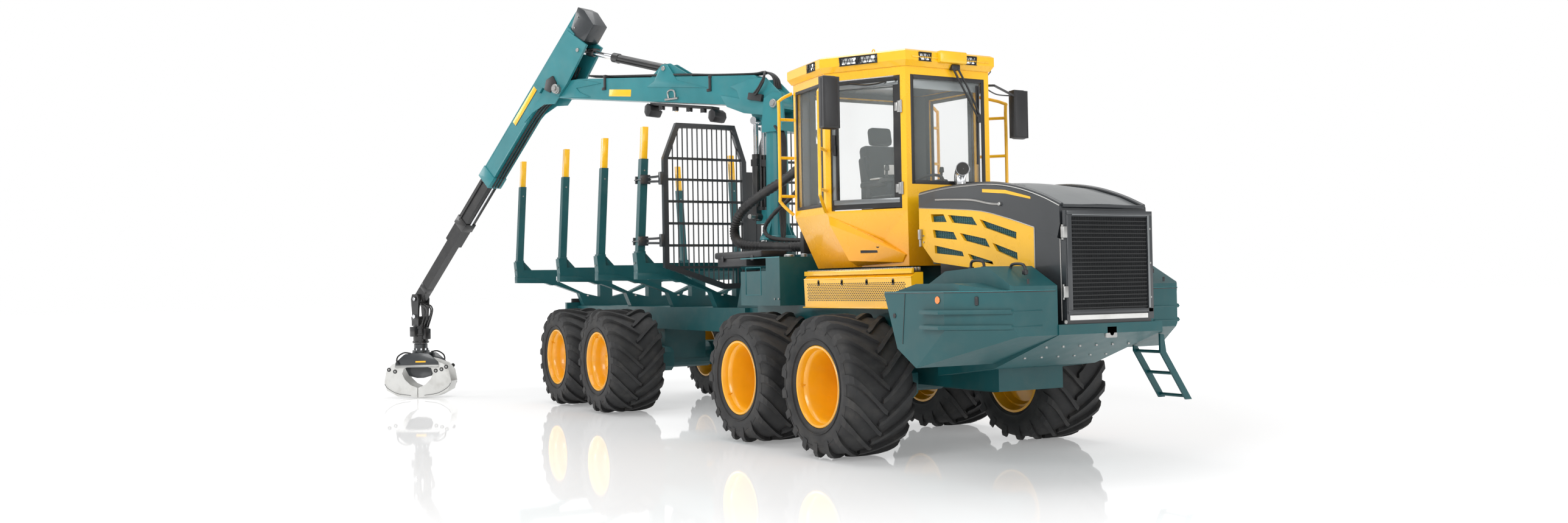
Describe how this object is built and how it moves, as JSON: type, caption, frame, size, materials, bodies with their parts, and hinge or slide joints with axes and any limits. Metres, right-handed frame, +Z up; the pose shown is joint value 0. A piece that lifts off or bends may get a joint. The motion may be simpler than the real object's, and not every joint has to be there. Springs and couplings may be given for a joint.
{
  "type": "forestry forwarder",
  "caption": "Articulated timber forwarder on bogies: cab, engine hood, log bunk with stakes and headboard, telescoping loading crane with rotator and grapple.",
  "frame": {"origin": "centre of the footprint of the whole machine with its crane as posed, on the ground", "axes": "+X to the engine end, +Y to the machine's left, +Z up"},
  "size_m": [12.0529, 4.6133, 5.2625],
  "materials": {
    "teal_paint": "glossy dark teal machine paint",
    "crane_paint": "satin light turquoise crane paint",
    "yellow_paint": "glossy warm yellow paint",
    "charcoal_paint": "satin charcoal paint",
    "black_steel": "satin black paint with wear",
    "tyre": "matt black rubber",
    "polished_steel": "polished chromed rod",
    "worn_steel": "scuffed off-white paint",
    "glass": "clear cab glass",
    "seat_fabric": "dark grey woven seat cloth",
    "black_plastic": "matt black moulded plastic"
  },
  "bodies": {
    "front": {"front_bogie_left": "teal_paint", "front_bogie_right": "teal_paint", "front_frame": "teal_paint", "front_box_left": "teal_paint", "front_box_right": "teal_paint", "hydraulic_tank": "teal_paint", "fuel_tank": "teal_paint", "running_board_left": "yellow_paint", "running_board_right": "yellow_paint", "cab_shell": "yellow_paint", "cab_roof": "yellow_paint", "engine_block": "black_steel", "exhaust_pipe": "polished_steel", "windshield": "glass", "rear_window": "glass", "seat": "seat_fabric", "steering_column": "black_plastic", "mirror_left": "black_plastic", "engine_panel_left": "yellow_paint", "engine_panel_right": "yellow_paint"},
    "rear": {"rear_bogie_left": "teal_paint", "rear_bogie_right": "teal_paint", "rear_frame": "teal_paint", "bunk_1": "teal_paint", "bunk_2": "teal_paint", "bunk_3": "teal_paint", "bunk_4": "teal_paint", "headboard": "charcoal_paint", "crane_base": "teal_paint"},
    "hood": {"hood": "charcoal_paint"},
    "grille_door": {"grille_door": "teal_paint"},
    "ladder": {"ladder": "teal_paint"},
    "cab_door": {"cab_door": "black_steel", "mirror_right": "black_plastic"},
    "crane": {"crane_pillar": "crane_paint"},
    "boom": {"crane_boom": "crane_paint"},
    "stick": {"crane_stick": "crane_paint"},
    "lift_barrels": {"lift_cylinder_barrels": "black_steel"},
    "lift_rods": {"lift_cylinder_rods": "polished_steel"},
    "stick_barrel": {"stick_cylinder_barrel": "black_steel"},
    "stick_rod": {"stick_cylinder_rod": "polished_steel"},
    "extension_1": {"crane_extension_1": "black_steel"},
    "extension_2": {"crane_extension_2": "black_steel"},
    "tip_link": {"tip_link": "black_steel"},
    "grapple": {"grapple_crown": "charcoal_paint"},
    "jaw_outer": {"grapple_jaw_outer": "worn_steel"},
    "jaw_inner": {"grapple_jaw_inner": "worn_steel"},
    "front_leading_wheel_left": {"front_leading_wheel_left": "tyre"},
    "front_trailing_wheel_left": {"front_trailing_wheel_left": "tyre"},
    "rear_leading_wheel_left": {"rear_leading_wheel_left": "tyre"},
    "rear_trailing_wheel_left": {"rear_trailing_wheel_left": "tyre"},
    "front_leading_wheel_right": {"front_leading_wheel_right": "tyre"},
    "front_trailing_wheel_right": {"front_trailing_wheel_right": "tyre"},
    "rear_leading_wheel_right": {"rear_leading_wheel_right": "tyre"},
    "rear_trailing_wheel_right": {"rear_trailing_wheel_right": "tyre"}
  },
  "joints": [
    {"name": "front_leading_wheel_left_spin", "type": "hinge", "parent": "front", "child": "front_leading_wheel_left", "pos_m": [3.792, 1.9567, 0.6494], "axis": [0, 1, 0], "continuous": true},
    {"name": "front_trailing_wheel_left_spin", "type": "hinge", "parent": "front", "child": "front_trailing_wheel_left", "pos_m": [2.26, 1.9567, 0.6494], "axis": [0, 1, 0], "continuous": true},
    {"name": "rear_leading_wheel_left_spin", "type": "hinge", "parent": "rear", "child": "rear_leading_wheel_left", "pos_m": [-1.57, 1.9567, 0.6494], "axis": [0, 1, 0], "continuous": true},
    {"name": "rear_trailing_wheel_left_spin", "type": "hinge", "parent": "rear", "child": "rear_trailing_wheel_left", "pos_m": [-3.07, 1.9567, 0.6494], "axis": [0, 1, 0], "continuous": true},
    {"name": "front_leading_wheel_right_spin", "type": "hinge", "parent": "front", "child": "front_leading_wheel_right", "pos_m": [3.792, -0.2853, 0.6494], "axis": [0, 1, 0], "continuous": true},
    {"name": "front_trailing_wheel_right_spin", "type": "hinge", "parent": "front", "child": "front_trailing_wheel_right", "pos_m": [2.26, -0.2853, 0.6494], "axis": [0, 1, 0], "continuous": true},
    {"name": "rear_leading_wheel_right_spin", "type": "hinge", "parent": "rear", "child": "rear_leading_wheel_right", "pos_m": [-1.57, -0.2853, 0.6494], "axis": [0, 1, 0], "continuous": true},
    {"name": "rear_trailing_wheel_right_spin", "type": "hinge", "parent": "rear", "child": "rear_trailing_wheel_right", "pos_m": [-3.07, -0.2853, 0.6494], "axis": [0, 1, 0], "continuous": true},
    {"name": "steering", "type": "hinge", "parent": "front", "child": "rear", "pos_m": [1.076, 0.8357, 0.85], "axis": [0, 0, -1], "range_deg": [-40, 40]},
    {"name": "crane_slew", "type": "hinge", "parent": "rear", "child": "crane", "pos_m": [0.576, 0.8357, 2.02], "axis": [0, 0, 1], "range_deg": [-158, 112]},
    {"name": "boom_lift", "type": "hinge", "parent": "crane", "child": "boom", "pos_m": [0.66805, 0.87477, 3.68], "axis": [-0.3907, 0.9205, 0], "range_deg": [-7, 60]},
    {"name": "lift_cylinder_tilt", "type": "hinge", "parent": "crane", "child": "lift_barrels", "pos_m": [0.34587, 0.73802, 2.38], "axis": [-0.3907, 0.9205, 0], "range_deg": [-0.2, 1.4]},
    {"name": "lift_cylinder_stroke", "type": "slide", "parent": "lift_barrels", "child": "lift_rods", "axis": [0, 0, 1], "range_m": [-0.045, 0.384]},
    {"name": "stick_swing", "type": "hinge", "parent": "boom", "child": "stick", "pos_m": [-2.69732, -0.55374, 4.238], "axis": [-0.3907, 0.9205, 0], "range_deg": [-25, 35]},
    {"name": "stick_cylinder_tilt", "type": "hinge", "parent": "boom", "child": "stick_barrel", "pos_m": [-0.96769, 0.18044, 4.3], "axis": [-0.3907, 0.9205, 0], "range_deg": [-7.1, 5.1]},
    {"name": "stick_cylinder_stroke", "type": "slide", "parent": "stick_barrel", "child": "stick_rod", "axis": [-0.8872, -0.3766, 0.2665], "range_m": [-0.307, 0.22]},
    {"name": "extension_1_slide", "type": "slide", "parent": "stick", "child": "extension_1", "axis": [-0.6442, -0.2735, -0.7143], "range_m": [-1, 0.3]},
    {"name": "extension_2_slide", "type": "slide", "parent": "extension_1", "child": "extension_2", "axis": [-0.6442, -0.2735, -0.7143], "range_m": [-1, 0.3]},
    {"name": "tip_link_swing", "type": "hinge", "parent": "extension_2", "child": "tip_link", "pos_m": [-5.63741, -1.80174, 1.46], "axis": [-0.3907, 0.9205, 0], "range_deg": [-45, 45]},
    {"name": "grapple_turn", "type": "hinge", "parent": "tip_link", "child": "grapple", "pos_m": [-5.63741, -1.80174, 0.8], "axis": [0, 0, 1], "continuous": true},
    {"name": "grapple_open", "type": "hinge", "parent": "grapple", "child": "jaw_outer", "pos_m": [-5.71241, -1.93164, 0.5], "axis": [-0.866, 0.5, 0], "range_deg": [0, 70]},
    {"name": "grapple_open_inner", "type": "hinge", "parent": "grapple", "child": "jaw_inner", "pos_m": [-5.56241, -1.67183, 0.5], "axis": [0.866, -0.5, 0], "range_deg": [0, 70]},
    {"name": "hood_lift", "type": "hinge", "parent": "front", "child": "hood", "pos_m": [4.056, 0.8357, 2.36], "axis": [0, -1, 0], "range_deg": [0, 50]},
    {"name": "grille_hinge", "type": "hinge", "parent": "front", "child": "grille_door", "pos_m": [6.007, 0.3537, 1.7], "axis": [0, 0, -1], "range_deg": [0, 110]},
    {"name": "cab_door_hinge", "type": "hinge", "parent": "front", "child": "cab_door", "pos_m": [3.916, 0.3157, 2.9], "axis": [0, 0, 1], "range_deg": [0, 85]},
    {"name": "ladder_fold", "type": "hinge", "parent": "front", "child": "ladder", "pos_m": [5.4385, 1.8357, 0.93], "axis": [1, 0, 0], "range_deg": [0, 45]}
  ],
  "couplings": [
    {"joint": "lift_cylinder_tilt", "follows": "boom_lift", "ratio": 0.0225},
    {"joint": "lift_cylinder_stroke", "follows": "boom_lift", "m_per_rad": 0.3657},
    {"joint": "stick_cylinder_tilt", "follows": "stick_swing", "ratio": -0.2},
    {"joint": "stick_cylinder_stroke", "follows": "stick_swing", "m_per_rad": -0.5},
    {"joint": "extension_2_slide", "follows": "extension_1_slide", "ratio": 1},
    {"joint": "grapple_open_inner", "follows": "grapple_open", "ratio": 1}
  ]
}
